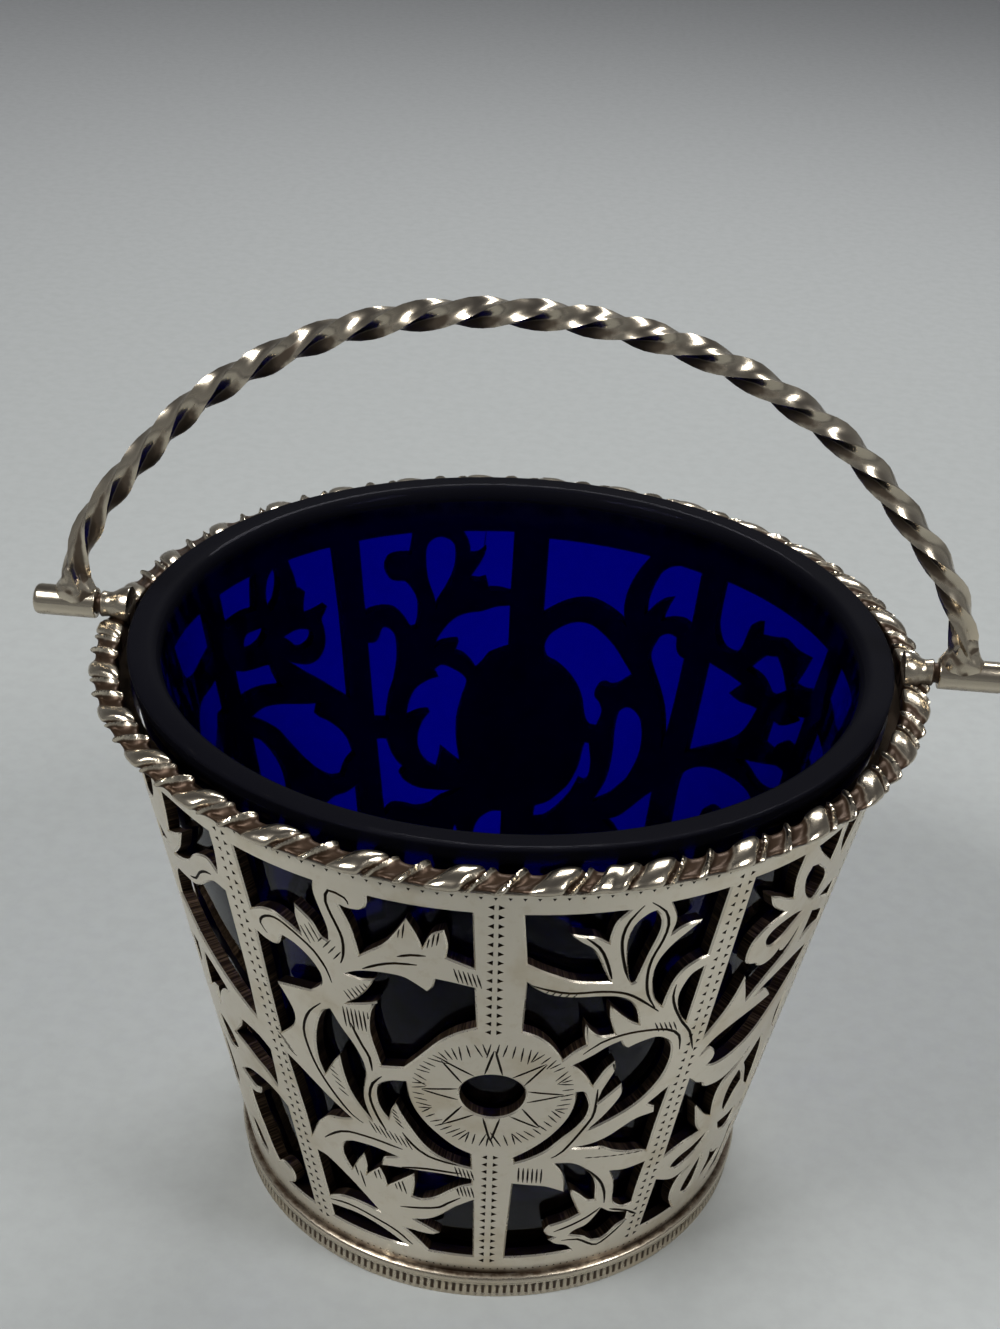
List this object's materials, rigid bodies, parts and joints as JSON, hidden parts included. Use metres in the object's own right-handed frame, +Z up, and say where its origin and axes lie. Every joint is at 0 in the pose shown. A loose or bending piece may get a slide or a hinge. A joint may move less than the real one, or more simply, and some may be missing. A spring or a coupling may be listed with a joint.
{
  "type": "sugar basket",
  "caption": "Small pierced silver pail with gadrooned rim, twisted swing handle and a loose cobalt glass liner.",
  "frame": {"origin": "centre of the foot, on the surface that the basket stands on", "axes": "+Z up along the pail's axis; the handle turns about X; -Y is the front with the medallion"},
  "size_m": [0.0932, 0.08, 0.0938],
  "materials": {
    "silver_sheet": "worn hand-polished silver, tarnish in the engraving",
    "silver_cast": "cast silver, bright on the lobes, dark between them",
    "silver_wire": "drawn and twisted silver, hand polished",
    "cobalt_glass": "deep blue blown glass with a ground rim"
  },
  "bodies": {
    "basket_body": {"pierced_wall": "silver_sheet", "base_plate": "silver_sheet", "gadroon_rim": "silver_cast", "foot_bead": "silver_cast", "milled_foot_band": "silver_sheet", "left_lug": "silver_cast", "right_lug": "silver_cast"},
    "liner_body": {"glass_liner": "cobalt_glass"},
    "handle_body": {"twisted_bail": "silver_wire", "left_sleeve": "silver_wire", "right_sleeve": "silver_wire"}
  },
  "joints": [
    {"name": "handle_swing", "type": "hinge", "parent": "basket_body", "child": "handle_body", "pos_m": [0, 0, 0.06], "axis": [1, 0, 0], "range_deg": [-84, 84]},
    {"name": "liner_turn", "type": "hinge", "parent": "basket_body", "child": "liner_body", "pos_m": [0, 0, 0], "axis": [0, 0, 1], "continuous": true}
  ]
}
